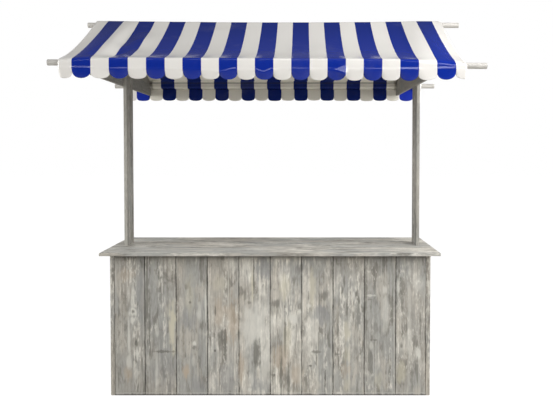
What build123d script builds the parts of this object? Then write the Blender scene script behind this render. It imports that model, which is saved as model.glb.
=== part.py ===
"""Wooden market stall: a boarded counter with two plank uprights that carry a striped gable canopy.

Millimetres, +Z up, X along the counter, -Y towards the customer.
The origin is on the floor, midway between the two uprights and straight below the ridge pole.
"""
from build123d import *
from math import acos, atan2, cos, degrees, hypot, sin
import os

os.makedirs("parts", exist_ok=True)

# Driving dimensions of the counter
counter_width = 2000.0
counter_height = 905.0
front_y = -335.0
front_board_count = 10
front_board_width = 196.0
front_board_thickness = 18.0
side_board_count = 3
side_board_width = 205.0
side_board_thickness = 26.0
top_plank_count = 3
top_plank_width = 238.0
top_thickness = 18.0
top_side_overhang = 50.0
top_front_overhang = 60.0
slot_play = 0.3
slot_overcut = 1.0

# Board joints: a tongue on one edge, a groove in the other, and a V on the face
tongue_thickness = 6.0
tongue_length = 8.0
groove_play = 0.3
joint_chamfer = 3.0
edge_ease = 1.5

# Rails and battens inside the counter
rail_thickness = 27.0
rail_width = 70.0
bottom_rail_lift = 30.0
cleat_width = 45.0
cleat_offset = 330.0

# Uprights and roof frame
upright_thickness = 19.0
upright_depth = 170.0
gable_thickness = 18.0
pole_radius = 17.5
pole_wall = 3.0
pole_length = 2472.0
front_pole_shift = 0.0
ridge_pole_shift = 8.0
rear_pole_shift = -8.0
ridge_height = 2370.0
eave_height = 2030.5
roof_half_span = 692.0
front_pole_drop = 15.5
gable_depth_below_eave = 70.5
bore_wall = 8.0
fit_gap = 0.3

# Canopy
sheet_thickness = 2.0
stripe_width = 102.5
full_stripes = 21
canopy_shift = -13.0
left_end_stripe = 77.0
right_end_stripe = 61.0
front_valance_drop = 89.5
rear_valance_drop = 112.5
front_scallop_depth = 30.0
rear_scallop_depth = 24.0
trim_allowance = 7.0
scallop_cut_below = 30.0
scallop_cut_reach = 170.0
sleeve_seam_drop = 30.0
sleeve_run = 45.0
sleeve_slit = 8.0
seam_bite = 0.5

# Places worked out from the driving dimensions
side_inner_x = counter_width / 2 - side_board_thickness
board_height = counter_height - top_thickness
side_depth = side_board_count * side_board_width
rear_y = front_y + side_depth
end_board_width = side_inner_x - (front_board_count / 2 - 1) * front_board_width
rail_front_y = front_y + front_board_thickness
rear_rail_y = rear_y - rail_thickness
upright_front_y = -upright_depth / 2
upright_rear_y = upright_depth / 2
upright_top = ridge_height - pole_radius - fit_gap
bore_radius = pole_radius + fit_gap
gable_edge_offset = bore_radius + bore_wall
sheet_inner_offset = gable_edge_offset + fit_gap
sheet_outer_offset = sheet_inner_offset + sheet_thickness
stripe_start = canopy_shift - full_stripes * stripe_width / 2
canopy_left = stripe_start - left_end_stripe
canopy_right = stripe_start + full_stripes * stripe_width + right_end_stripe


def upright_start(side):
    """Where the upright begins along X; both stand inside their side panels."""
    return side_inner_x - upright_thickness if side > 0 else -side_inner_x


def gable_start(side):
    """Where the gable board begins along X; both end frames are alike, with the board on the left face."""
    return upright_start(side) - gable_thickness


def gable_middle(side):
    """The middle plane of a gable board."""
    return gable_start(side) + gable_thickness / 2


drop_slope = front_pole_drop / (gable_middle(1) - gable_middle(-1))


def front_eave(x):
    """Height of the front pole's axis, level with the rear one on the left and lower on the right."""
    return eave_height - drop_slope * (x - gable_middle(-1))


def pole_places(x):
    """The front, ridge and rear pole axes where they cross the plane at x, as (y, z)."""
    front = (-roof_half_span, front_eave(x))
    ridge = (0.0, ridge_height)
    rear = (roof_half_span, eave_height)
    return front, ridge, rear


def block(x, y, z):
    """A box given by its three (low, high) ranges."""
    size = Box(x[1] - x[0], y[1] - y[0], z[1] - z[0])
    return Pos((x[0] + x[1]) / 2, (y[0] + y[1]) / 2, (z[0] + z[1]) / 2) * size


def joint_profile(width, thickness, grooved, tongued):
    """Section of one board: face at y = 0, back at y = thickness, groove at x = 0, tongue at x = width."""
    tongue_low = (thickness - tongue_thickness) / 2
    tongue_high = tongue_low + tongue_thickness
    groove_low = tongue_low - groove_play
    groove_high = tongue_high + groove_play
    groove_end = tongue_length + groove_play
    points = [(joint_chamfer, 0), (width - joint_chamfer, 0), (width, joint_chamfer)]
    if tongued:
        points += [(width, tongue_low), (width + tongue_length, tongue_low)]
        points += [(width + tongue_length, tongue_high), (width, tongue_high)]
    points += [(width, thickness), (0, thickness)]
    if grooved:
        points += [(0, groove_high), (groove_end, groove_high)]
        points += [(groove_end, groove_low), (0, groove_low)]
    points += [(0, joint_chamfer)]
    return make_face(Polyline(*points, close=True))


def front_board(index):
    """One upright board of the counter's front; the two end ones are trimmed to fit between the side panels."""
    grooved = index > 0
    tongued = index < front_board_count - 1
    width = front_board_width if grooved and tongued else end_board_width
    profile = joint_profile(width, front_board_thickness, grooved, tongued)
    left = (index - front_board_count / 2) * front_board_width if grooved else -side_inner_x
    return Pos(left, front_y, 0) * extrude(profile, board_height)


def side_board(index, side):
    """One upright board of a side panel; the first shows its front edge beside the front boards."""
    grooved = index > 0
    tongued = index < side_board_count - 1
    profile = joint_profile(side_board_width, side_board_thickness, grooved, tongued)
    board = Rot(0, 0, 90) * extrude(profile, board_height)
    board = Pos(counter_width / 2, front_y + index * side_board_width, 0) * board
    return board if side > 0 else mirror(board, Plane.YZ)


def front_rail(low):
    """A rail across the back of the front boards."""
    across = (-side_inner_x, side_inner_x)
    return block(across, (rail_front_y, rail_front_y + rail_thickness), (low, low + rail_width))


def rear_rail():
    """The rail under the rear edge of the counter top, over the open back."""
    return block((-side_inner_x, side_inner_x), (rear_rail_y, rear_y), (board_height - rail_width, board_height))


def side_batten(side, low, span):
    """A batten that ties the side boards together, in front of or behind the upright."""
    inner = side_inner_x - rail_thickness
    across = (inner, side_inner_x) if side > 0 else (-side_inner_x, -inner)
    return block(across, span, (low, low + rail_width))


def cleat(x):
    """A bearer below the counter top, from the front rail to the rear rail."""
    across = (x - cleat_width / 2, x + cleat_width / 2)
    along = (rail_front_y + rail_thickness, rear_rail_y)
    return block(across, along, (board_height - rail_thickness, board_height))


def top_plank(index):
    """One plank of the counter top, notched where the uprights pass through."""
    start = front_y - top_front_overhang + index * top_plank_width
    reach = counter_width / 2 + top_side_overhang
    plank = block((-reach, reach), (start, start + top_plank_width), (board_height, counter_height))
    plank = chamfer(plank.edges().group_by(Axis.Z)[-1], edge_ease)
    slot_y = (upright_front_y - slot_play, upright_rear_y + slot_play)
    slot_z = (board_height - slot_overcut, counter_height + slot_overcut)
    for side in (-1, 1):
        start = upright_start(side)
        plank -= block((start - slot_play, start + upright_thickness + slot_play), slot_y, slot_z)
    return plank


def upright(side):
    """A plank on edge, from the floor through the counter top to the ridge pole that it carries."""
    start = upright_start(side)
    return block((start, start + upright_thickness), (upright_front_y, upright_rear_y), (0, upright_top))


def roof_edge(x, offset):
    """The roof's outline at a set distance outside the pole axes, from front eave to rear eave.

    Returns edges in the YZ plane as drawn on a flat sketch: straight slopes joined by arcs
    about each pole, which end upright beyond the two eaves.
    """
    front, ridge, rear = pole_places(x)
    front_pitch = degrees(atan2(ridge[1] - front[1], ridge[0] - front[0]))
    rear_pitch = degrees(atan2(ridge[1] - rear[1], rear[0] - ridge[0]))
    front_arc = CenterArc(front, offset, 180, front_pitch - 90)
    ridge_arc = CenterArc(ridge, offset, 90 + front_pitch, -front_pitch - rear_pitch)
    rear_arc = CenterArc(rear, offset, 90 - rear_pitch, rear_pitch - 90)
    front_slope = Line(front_arc @ 1, ridge_arc @ 0)
    rear_slope = Line(ridge_arc @ 1, rear_arc @ 0)
    return [front_arc, front_slope, ridge_arc, rear_slope, rear_arc]


def gable(side):
    """A gable board: level lower edge, cut ends, slopes along the roof and a bore for each pole."""
    front, ridge, rear = pole_places(gable_middle(side))
    slope_front = (ridge[1] - front[1]) / roof_half_span
    slope_rear = (ridge[1] - rear[1]) / roof_half_span
    lift_front = gable_edge_offset / cos(atan2(slope_front, 1))
    lift_rear = gable_edge_offset / cos(atan2(slope_rear, 1))
    reach = roof_half_span + gable_edge_offset
    low = eave_height - gable_depth_below_eave
    peak_y = (lift_rear - lift_front) / (slope_front + slope_rear)
    peak_z = ridge_height + lift_front + slope_front * peak_y
    front_top = ridge_height + lift_front - slope_front * reach
    rear_top = ridge_height + lift_rear - slope_rear * reach
    points = [(-reach, low), (reach, low), (reach, rear_top), (peak_y, peak_z), (-reach, front_top)]
    outline = make_face(Polyline(*points, close=True))
    outline = fillet(outline.vertices().sort_by(Axis.Y)[-3:], gable_edge_offset)
    for place in (front, ridge, rear):
        outline -= Pos(*place) * Circle(bore_radius)
    board = Plane.YZ * extrude(outline, gable_thickness)
    return Pos(gable_start(side), 0, 0) * board


def pole(x, y, z, drop):
    """A round tube along X, with its right-hand end lower by the drop per millimetre given."""
    tube = Cylinder(pole_radius, pole_length) - Cylinder(pole_radius - pole_wall, pole_length)
    return Pos(x, y, z) * Rot(0, 90 + degrees(atan2(drop, 1)), 0) * tube


def canopy_section(x):
    """Section of the sheet at x: two slopes over the three poles, and a valance at each eave."""
    front, _, rear = pole_places(x)
    outer = roof_edge(x, sheet_outer_offset)
    inner = roof_edge(x, sheet_inner_offset)
    front_low = front[1] - front_valance_drop - trim_allowance
    rear_low = rear[1] - rear_valance_drop - trim_allowance
    front_outer = (-roof_half_span - sheet_outer_offset, front_low)
    front_inner = (-roof_half_span - sheet_inner_offset, front_low)
    rear_outer = (roof_half_span + sheet_outer_offset, rear_low)
    rear_inner = (roof_half_span + sheet_inner_offset, rear_low)
    joins = [
        Line(outer[0] @ 0, front_outer),
        Line(front_outer, front_inner),
        Line(front_inner, inner[0] @ 0),
        Line(outer[-1] @ 1, rear_outer),
        Line(rear_outer, rear_inner),
        Line(rear_inner, inner[-1] @ 1),
    ]
    face = make_face(outer + inner + joins)
    return Pos(x, 0, 0) * (Plane.YZ * face)


def scallop_cutter(drop, depth, y, follow):
    """What is cut away below a valance, so that each stripe ends in one rounded scallop."""
    lift = drop_slope if follow else 0.0
    level = (front_eave(0) if follow else eave_height) - drop
    edges = []
    for index in range(-1, full_stripes + 1):
        start = stripe_start + index * stripe_width
        middle = start + stripe_width / 2
        end = start + stripe_width
        notch_start = (start, level - lift * start + depth)
        bottom = (middle, level - lift * middle)
        notch_end = (end, level - lift * end + depth)
        edges.append(ThreePointArc(notch_start, bottom, notch_end))
    left = edges[0] @ 0
    right = edges[-1] @ 1
    base = level - depth - scallop_cut_below
    edges += [Polyline(right, (right.X, base), (left.X, base), left)]
    profile = Plane.XZ * make_face(edges)
    return Pos(0, y, 0) * extrude(profile, scallop_cut_reach, both=True)


def tangent_angle(point, radius, turn):
    """Angle of the place where a line from the point touches a circle about the origin."""
    distance = hypot(point[0], point[1])
    return atan2(point[1], point[0]) + turn * acos(radius / distance)


def sleeve_section(x, side):
    """Section of the strip that holds an eave pole: from the valance, under the pole, up to the slope."""
    places = pole_places(x)
    axis = places[0] if side < 0 else places[2]
    pitch = atan2(ridge_height - axis[1], roof_half_span)
    seam = sheet_inner_offset + seam_bite
    low_end = (-seam, -sleeve_seam_drop)
    high_end = (
        -seam * sin(pitch) + sleeve_run * cos(pitch),
        seam * cos(pitch) + sleeve_run * sin(pitch),
    )
    low_start = (low_end[0], low_end[1] + sheet_thickness)
    high_start = (
        high_end[0] - sheet_thickness * cos(pitch),
        high_end[1] - sheet_thickness * sin(pitch),
    )
    edges = []
    for radius, low, high in ((bore_radius, low_start, high_start),
                              (bore_radius + sheet_thickness, low_end, high_end)):
        first = tangent_angle(low, radius, 1)
        last = tangent_angle(high, radius, -1)
        arc = CenterArc((0, 0), radius, degrees(first), degrees(last - first))
        edges += [Line(low, arc @ 0), arc, Line(arc @ 1, high)]
    edges += [Line(low_start, low_end), Line(high_start, high_end)]
    face = make_face(edges)
    if side > 0:
        face = mirror(face, Plane.YZ)
    return Pos(x, 0, 0) * (Plane.YZ * (Pos(*axis) * face))


def canopy():
    """One striped sheet over the three poles, with scalloped valances and a sleeve at each eave."""
    sheet = loft([canopy_section(canopy_left), canopy_section(canopy_right)], ruled=True)
    sheet -= scallop_cutter(front_valance_drop, front_scallop_depth, -roof_half_span, True)
    sheet -= scallop_cutter(rear_valance_drop, rear_scallop_depth, roof_half_span, False)
    slits = [(gable_start(side) - sleeve_slit, gable_start(side) + gable_thickness + sleeve_slit)
             for side in (-1, 1)]
    spans = ((canopy_left, slits[0][0]), (slits[0][1], slits[1][0]), (slits[1][1], canopy_right))
    for side in (-1, 1):
        for low, high in spans:
            sheet += loft([sleeve_section(low, side), sleeve_section(high, side)], ruled=True)
    return sheet


def save(name, shape):
    """Write one sub-part as parts/NAME.step."""
    export_step(shape, f"parts/{name}.step")


def save_counter():
    """The boarded counter: panels, rails, battens, bearers and top."""
    for index in range(front_board_count):
        save(f"front_board_{index + 1:02d}", front_board(index))
    levels = {"bottom": bottom_rail_lift, "top": board_height - rail_width}
    levels["middle"] = (levels["bottom"] + levels["top"]) / 2
    for level, low in levels.items():
        save(f"front_rail_{level}", front_rail(low))
    save("rear_rail", rear_rail())
    spans = {
        "front": (rail_front_y + rail_thickness, upright_front_y),
        "rear": (upright_rear_y, rear_rail_y),
    }
    for name, side in (("left", -1), ("right", 1)):
        for index in range(side_board_count):
            save(f"{name}_board_{index + 1}", side_board(index, side))
        for level in ("bottom", "top"):
            for place, span in spans.items():
                save(f"{name}_batten_{level}_{place}", side_batten(side, levels[level], span))
        save(f"{name}_cleat", cleat(side * cleat_offset))
    for index in range(top_plank_count):
        save(f"top_plank_{index + 1}", top_plank(index))


def save_roof():
    """The uprights, gable boards and poles, and the canopy over them."""
    for name, side in (("left", -1), ("right", 1)):
        save(f"{name}_upright", upright(side))
        save(f"{name}_gable", gable(side))
    _, ridge, rear = pole_places(0)
    front_height = front_eave(front_pole_shift)
    save("front_pole", pole(front_pole_shift, -roof_half_span, front_height, drop_slope))
    save("ridge_pole", pole(ridge_pole_shift, *ridge, 0))
    save("rear_pole", pole(rear_pole_shift, *rear, 0))
    save("canopy", canopy())


save_counter()
save_roof()
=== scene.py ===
import math

import bmesh
import bpy
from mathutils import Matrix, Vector, noise


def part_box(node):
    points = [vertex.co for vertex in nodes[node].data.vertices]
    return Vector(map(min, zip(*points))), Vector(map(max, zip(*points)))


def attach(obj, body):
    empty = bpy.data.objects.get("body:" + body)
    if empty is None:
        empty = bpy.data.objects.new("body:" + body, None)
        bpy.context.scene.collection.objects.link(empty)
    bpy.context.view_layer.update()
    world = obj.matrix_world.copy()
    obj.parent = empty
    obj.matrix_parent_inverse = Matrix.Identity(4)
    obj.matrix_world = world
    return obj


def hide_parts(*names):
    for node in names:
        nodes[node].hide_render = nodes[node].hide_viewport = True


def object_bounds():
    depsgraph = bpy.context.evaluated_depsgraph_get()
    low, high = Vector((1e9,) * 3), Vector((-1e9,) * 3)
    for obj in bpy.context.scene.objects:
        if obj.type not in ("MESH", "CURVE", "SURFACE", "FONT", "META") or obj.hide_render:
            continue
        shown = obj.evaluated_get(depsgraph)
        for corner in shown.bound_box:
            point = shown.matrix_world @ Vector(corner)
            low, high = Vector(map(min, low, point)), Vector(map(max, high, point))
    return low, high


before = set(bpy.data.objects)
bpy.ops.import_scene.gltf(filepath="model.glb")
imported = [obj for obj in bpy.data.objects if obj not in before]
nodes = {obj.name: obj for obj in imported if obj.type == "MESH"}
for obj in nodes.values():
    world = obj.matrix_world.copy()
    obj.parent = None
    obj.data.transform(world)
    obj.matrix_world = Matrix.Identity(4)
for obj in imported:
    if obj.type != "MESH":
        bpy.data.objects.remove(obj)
cadLow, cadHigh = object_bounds()
print("market stall: frame loaded,", len(nodes), "nodes")


class Wire:
    # a value in a shader tree: sums, products and comparisons of wires become Math nodes
    def __init__(self, socket):
        self.socket = socket
        self.tree = socket.id_data

    def __radd__(self, other):
        return maths("ADD", other, self)

    def __rsub__(self, other):
        return maths("SUBTRACT", other, self)


def mathsMethod(operation):
    return lambda *values: maths(operation, *values)


for method, operation in {"add": "ADD", "sub": "SUBTRACT", "mul": "MULTIPLY", "truediv": "DIVIDE",
                          "abs": "ABSOLUTE", "gt": "GREATER_THAN", "lt": "LESS_THAN"}.items():
    setattr(Wire, f"__{method}__", mathsMethod(operation))


def feed(socket, value):
    # a wire is linked to the socket, and anything else is set on it
    if isinstance(value, Wire):
        value.tree.links.new(value.socket, socket)
    else:
        socket.default_value = value


def addNode(tree, kind, sockets=None, **settings):
    made = tree.nodes.new(kind)
    for name, value in settings.items():
        setattr(made, name, value)
    for name, value in (sockets or {}).items():
        feed(made.inputs[name], value)
    return made


def nodeOutput(kind, sockets, which=0, **settings):
    # one output of a new node, which joins the tree of the wires that feed it
    tree = next(value.tree for value in sockets.values() if isinstance(value, Wire))
    return Wire(addNode(tree, kind, sockets, **settings).outputs[which])


def maths(operation, *values):
    return nodeOutput("ShaderNodeMath", dict(enumerate(values)), operation=operation)


def vectorMaths(operation, *values, which=0):
    return nodeOutput("ShaderNodeVectorMath", dict(enumerate(values)), which, operation=operation)


def between(value, low, high, start=0, end=1):
    # start where the value is at low, end where it is at high, eased in the middle
    sockets = {"Value": value, "From Min": low, "From Max": high, "To Min": start, "To Max": end}
    return nodeOutput("ShaderNodeMapRange", sockets, interpolation_type="SMOOTHSTEP")


def mixValues(share, first, second):
    return nodeOutput("ShaderNodeMapRange", {"Value": share, "To Min": first, "To Max": second})


def mixColours(share, first, second):
    sockets = {0: share, 6: first, 7: second}
    return nodeOutput("ShaderNodeMix", sockets, 2, data_type="RGBA", clamp_factor=True)


def noiseValue(place, scale=1, detail=3, roughness=0.5, distortion=0):
    return nodeOutput("ShaderNodeTexNoise", {"Vector": place, "Scale": scale, "Detail": detail,
                                             "Roughness": roughness, "Distortion": distortion})


def splitVector(vector):
    return [Wire(part) for part in addNode(vector.tree, "ShaderNodeSeparateXYZ", {0: vector}).outputs]


def joinVector(x, y, z):
    return nodeOutput("ShaderNodeCombineXYZ", {0: x, 1: y, 2: z})


def redShare(colour):
    return nodeOutput("ShaderNodeSeparateColor", {0: colour})


def objectPlace(tree):
    return Wire(addNode(tree, "ShaderNodeTexCoord").outputs["Object"])


def shade(red, green, blue):
    # a colour as a paint chart gives it, 0 to 255, made linear
    def linear(c):
        c = c / 255
        return c / 12.92 if c <= 0.04045 else ((c + 0.055) / 1.055) ** 2.4
    return (linear(red), linear(green), linear(blue), 1)


def newGroup(name, inputs, outputs):
    # the names of the inputs and outputs, kind by kind
    tree = bpy.data.node_groups.new(name, "ShaderNodeTree")
    for way, sockets in (("INPUT", inputs), ("OUTPUT", outputs)):
        for kind, labels in sockets.items():
            for label in labels:
                tree.interface.new_socket(label, in_out=way, socket_type=f"NodeSocket{kind}")
    given = {socket.name: Wire(socket) for socket in tree.nodes.new("NodeGroupInput").outputs}
    return tree, given, tree.nodes.new("NodeGroupOutput").inputs


def useGroup(tree, group, **values):
    made = addNode(tree, "ShaderNodeGroup", values, node_tree=group)
    return {socket.name: Wire(socket) for socket in made.outputs}


def newMaterial(name):
    material = bpy.data.materials.new(name)
    material.use_nodes = True
    return material, material.node_tree, material.node_tree.nodes["Principled BSDF"]


def dress(shader, colour, roughness, height, strength, distance):
    # the colour, roughness and fine relief of a surface
    feed(shader.inputs["Base Color"], colour)
    feed(shader.inputs["Roughness"], roughness)
    relief = {"Height": height, "Strength": strength, "Distance": distance}
    feed(shader.inputs["Normal"], nodeOutput("ShaderNodeBump", relief))


def newObject(name, data):
    made = bpy.data.objects.new(name, data)
    bpy.context.scene.collection.objects.link(made)
    return made


def giveMaterial(material, *names):
    for name in names:
        slots = nodes[name].material_slots
        if not slots:
            nodes[name].data.materials.append(material)
        for slot in slots:
            slot.material = material


greyPaint = {
    # the dark grey also paints shade, and the cream also paints light, at the uprights' front faces
    "darkGreyAndPaintedShade": shade(112, 109, 101),
    "coolGrey": shade(150, 149, 144),
    "warmGrey": shade(157, 152, 143),
    "beige": shade(173, 167, 156),
    "creamAndPaintedLight": shade(193, 190, 181),
    # the joint colour also paints the shadow under the counter's overhang
    "jointAndPaintedShade": shade(66, 63, 57),
    "roughness": 0.62,
    "relief": (0.45, 0.0012),  # strength, and height in metres
}
# the noises that make the grain: scale across and along it, detail, roughness, distortion
grainNoises = {
    "broad": (4.5, 1.8, 2, 0.5, 0),
    "patch": (9, 3.6, 2, 0.5, 0.4),
    "mottle": (17, 6.5, 3, 0.55, 0.5),
    "cloud": (13, 3.6, 3, 0.5, 0.3),
    "streak": (64, 2.2, 4, 0.6, 0),
    "dabs": (95, 26, 3, 0.6, 0),
    "fibre": (420, 24, 3, 0.6, 0),
    "rings": (5, 0.9, 2, 0.45, 0.3),
    "thread": (24, 0.7, 1, 0.5, 0),
    "check": (16, 0.55, 1, 0.5, 0),
    "packed": (2, 9, 3, 0.6, 0),
}


def makeGreyPaint(paint):
    # weathered grey paint on sawn boards, with the grain along Z of the place it is given
    tree, given, out = newGroup(
        "weatheredGreyPaint",
        {"Vector": ["Place"], "Float": ["Board", "Edge", "Lightness", "Brush", "Dirt", "Contrast"]},
        {"Color": ["Colour"], "Float": ["Roughness", "Height", "Ragged"]})
    lightness, brush, contrast = given["Lightness"], given["Brush"], given["Contrast"]
    # each board is cut from another place in the tree
    jump = nodeOutput("ShaderNodeTexWhiteNoise", {"W": given["Board"]}, "Color", noise_dimensions="1D")
    place = vectorMaths("ADD", given["Place"], vectorMaths("MULTIPLY", jump, (7, 3, 11)))

    def grain(name):
        across, along, detail, roughness, distortion = grainNoises[name]
        stretched = vectorMaths("MULTIPLY", place, (across, across, along))
        return noiseValue(stretched, 1, detail, roughness, distortion)

    broad, patch, mottle, cloud = map(grain, ("broad", "patch", "mottle", "cloud"))
    streak, dabs, fibre = map(grain, ("streak", "dabs", "fibre"))
    ragged = streak * 0.75 + dabs * 0.25

    # cathedral grain: contour lines of a long, lazy noise
    rings = between(maths("SINE", grain("rings") * 110), 0.2, 1)
    # knots, small ovals with a dark heart and a pale collar
    stretched = vectorMaths("MULTIPLY", place, (7, 7, 4.2))
    cells = addNode(tree, "ShaderNodeTexVoronoi", {"Vector": stretched, "Scale": 1}, feature="F1")
    chosen = redShare(Wire(cells.outputs["Color"])) > 0.8
    heart = between(Wire(cells.outputs["Distance"]), 0.09, 0.04) * chosen
    collar = between(Wire(cells.outputs["Distance"]), 0.2, 0.11) * chosen
    # dry brushing, in patches with ragged ends: crisp flecks stand at its ends, and small pits stay bare
    wanted = mottle * 0.35 + ragged * 0.35 + patch * 0.45
    brushed = between(wanted + (lightness - 0.5) * 0.2, 0.56, 0.71) * brush
    fleck = between(dabs, 0.575, 0.61) * between(patch, 0.49, 0.6)
    pit = between(dabs, 0.39, 0.36) * between(cloud, 0.53, 0.64)
    # pale fuzzy threads where the brush ran along a raised grain, and dark checks
    thread = between(grain("thread"), 0.6, 0.68) * between(dabs, 0.46, 0.62, 0, 0.65)
    check = between(abs(grain("check") - 0.5), 0.012, 0.003) * between(cloud, 0.46, 0.56)

    painted = mixColours(between(broad, 0.38, 0.62), paint["coolGrey"], paint["warmGrey"])
    for share, coat in (
            (between(mottle * 0.7 + ragged * 0.3, 0.47, 0.38) * 0.7 * contrast, "darkGreyAndPaintedShade"),
            (rings * 0.16 * contrast, "darkGreyAndPaintedShade"),
            (between(cloud * 0.75 + ragged * 0.25, 0.52, 0.62) * 0.55, "beige"),
            (brushed, "creamAndPaintedLight"),
            (fleck * brush * 0.75, "creamAndPaintedLight"),
            (pit * brush * 0.5, "darkGreyAndPaintedShade"),
            (thread * contrast, "creamAndPaintedLight"),
            (check * 0.55, "darkGreyAndPaintedShade"),
            (collar * 0.35, "creamAndPaintedLight"),
            (heart * 0.7, "darkGreyAndPaintedShade")):
        painted = mixColours(share, painted, paint[coat])

    # lightness of the whole board, and of every brush hair
    hairs = (between(streak, 0.25, 0.75, -0.14, 0.14) + between(dabs, 0.25, 0.75, -0.1, 0.1)
             + between(fibre, 0.25, 0.75, -0.06, 0.06))
    level = (1 + lightness * 0.55) * (1 + hairs * contrast)
    painted = vectorMaths("MULTIPLY", painted, joinVector(level, level, level))

    # grime in the joints, and a pale line along the arris beside them
    wander = given["Edge"] + (dabs - 0.5) * 0.004
    arris = between(wander, 0.013, 0.008) * between(mottle, 0.45, 0.6)
    painted = mixColours(arris * 0.5, painted, paint["creamAndPaintedLight"])
    packed = between(grain("packed"), 0.38, 0.58, 0.35, 1) * given["Dirt"]
    painted = mixColours(between(wander, 0.0055, 0.0025) * packed, painted, paint["jointAndPaintedShade"])

    feed(out["Colour"], painted)
    feed(out["Roughness"], paint["roughness"] + streak * 0.22 - brushed * 0.08)
    feed(out["Height"], fibre * 0.35 + dabs * 0.3 + brushed * 0.3 - rings * 0.2
         - maths("MAXIMUM", heart, check) * 0.8)
    feed(out["Ragged"], ragged)
    return tree


greyPaintGroup = makeGreyPaint(greyPaint)


def edgeDistance(value, start, width, count):
    # which board a place is on, and how far it is from that board's nearest joint
    turn = (value - start) / width
    part = maths("FRACT", turn)
    near = part + (turn < 1)
    far = 1 - part + (turn > count - 1)
    return maths("FLOOR", turn), maths("MINIMUM", near, far) * width


def boardTone(along, tones):
    # lightness from a ramp along the row of boards
    ramp = addNode(along.tree, "ShaderNodeValToRGB", {0: along})
    elements = ramp.color_ramp.elements
    while len(elements) < len(tones):
        elements.new(0.5)
    for element, (where, value) in zip(elements, tones):
        element.position = where
        element.color = (value, value, value, 1)
    return redShare(Wire(ramp.outputs[0]))


def addMarks(colour, place, ragged, marks):
    # single dabs of paint: middle across and up, half width, half height, strength, kind by kind
    cloud = noiseValue(vectorMaths("MULTIPLY", place, (38, 38, 16)), detail=2)
    rough = (ragged - 0.5) * 3.6 + (cloud - 0.5) * 2.2
    for paint, dabs in marks:
        cover = None
        for across, up, halfWide, halfHigh, strength in dabs:
            local = vectorMaths("MULTIPLY_ADD", place, (1 / halfWide, 0, 1 / halfHigh),
                                (-across / halfWide, 0, -up / halfHigh))
            reach = vectorMaths("LENGTH", local, which="Value")
            dab = between(reach + rough, 1.55, 0.5, 0, strength)
            cover = dab if cover is None else maths("MAXIMUM", cover, dab)
        colour = mixColours(cover, colour, paint)
    return colour


def addPaintedFrontLight(colour, back, ragged, most):
    # painted light and shade: the narrow front face towards the customer is painted paler, as if lit, and the
    # sides just behind its arris are painted darker, as if shaded
    edge = back < 0.002
    colour = mixColours(edge * between(ragged, 0.25, 0.6, 0.35, most), colour, greyPaint["creamAndPaintedLight"])
    behind = between(back, 0.045, 0.01) * (1 - edge)
    return mixColours(behind * 0.3, colour, greyPaint["darkGreyAndPaintedShade"])


def addPaintedShadeLines(colour, z, ragged, paintedShade):
    # painted shadow under the overhang of the counter top, a dark line along the foot, and a pale one just
    # above the foot
    wander = z + (ragged - 0.5) * 0.02
    foot = between(wander, paintedShade["foot"] + 0.004, paintedShade["foot"]) * 0.7
    overhangShadow = between(wander, paintedShade["top"] - paintedShade["fade"], paintedShade["top"]) * 0.75
    pale = between(abs(wander - (paintedShade["foot"] + 0.009)), 0.005, 0.001) * 0.4
    colour = mixColours(pale, colour, greyPaint["creamAndPaintedLight"])
    return mixColours(maths("MAXIMUM", foot, overhangShadow), colour, greyPaint["jointAndPaintedShade"])


def boardMaterial(name, grainAlong, boardsAlong, start, width, count=1, offset=0, bothSides=False,
                  lightness=0.5, brush=0.6, dirt=0.5, contrast=1, tones=None, ends=None, marks=None,
                  paintedShade=None, paintedFrontLight=None):
    material, tree, shader = newMaterial(name)
    axes = dict(zip("XYZ", splitVector(objectPlace(tree))))
    place = joinVector(*[axes[a] for a in "XYZ" if a != grainAlong], axes[grainAlong])
    across = axes[boardsAlong]
    board, edge = edgeDistance(across, start, width, count)
    if ends:  # the outer two boards are trimmed
        edge = maths("MINIMUM", edge, across - ends[0])
        edge = maths("MINIMUM", edge, ends[1] - across)
    number = board + offset
    if bothSides:  # the same board on the other side of the stall is another board
        number = number + maths("SIGN", axes["X"]) * 20
    if tones:
        lightness = boardTone((board + 0.5) * (1 / count), tones)
    paint = useGroup(tree, greyPaintGroup, Place=place, Board=number, Edge=edge, Lightness=lightness,
                     Brush=brush, Dirt=dirt, Contrast=contrast)
    colour = paint["Colour"]
    if marks:
        colour = addMarks(colour, joinVector(axes["X"], 0, axes["Z"]), paint["Ragged"], marks)
    if paintedFrontLight:
        colour = addPaintedFrontLight(colour, axes["Y"] - start, paint["Ragged"], paintedFrontLight)
    if paintedShade:
        colour = addPaintedShadeLines(colour, axes["Z"], paint["Ragged"], paintedShade)
    dress(shader, colour, paint["Roughness"], paint["Height"], *greyPaint["relief"])
    return material


counterLow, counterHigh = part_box("front_board_01")[0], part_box("front_board_10")[1]
frontBoards = {
    "count": 10,
    # lightness along the counter, from left to right: partly the boards' own tones and partly painted light
    # and shade
    "tones": [(0, 0.22), (0.24, 0.34), (0.35, 0.52), (0.46, 0.66), (0.55, 0.66), (0.66, 0.46), (0.86, 0.3),
              (1, 0.32)],
    "brush": 0.75,
    "dirt": 0.9,
    # painted shadow under the overhang, darkest from the top height up and fading out over the fade below it;
    # and lines at the foot
    "paintedShade": {"foot": 0.006, "top": 0.88, "fade": 0.028},
}
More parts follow.
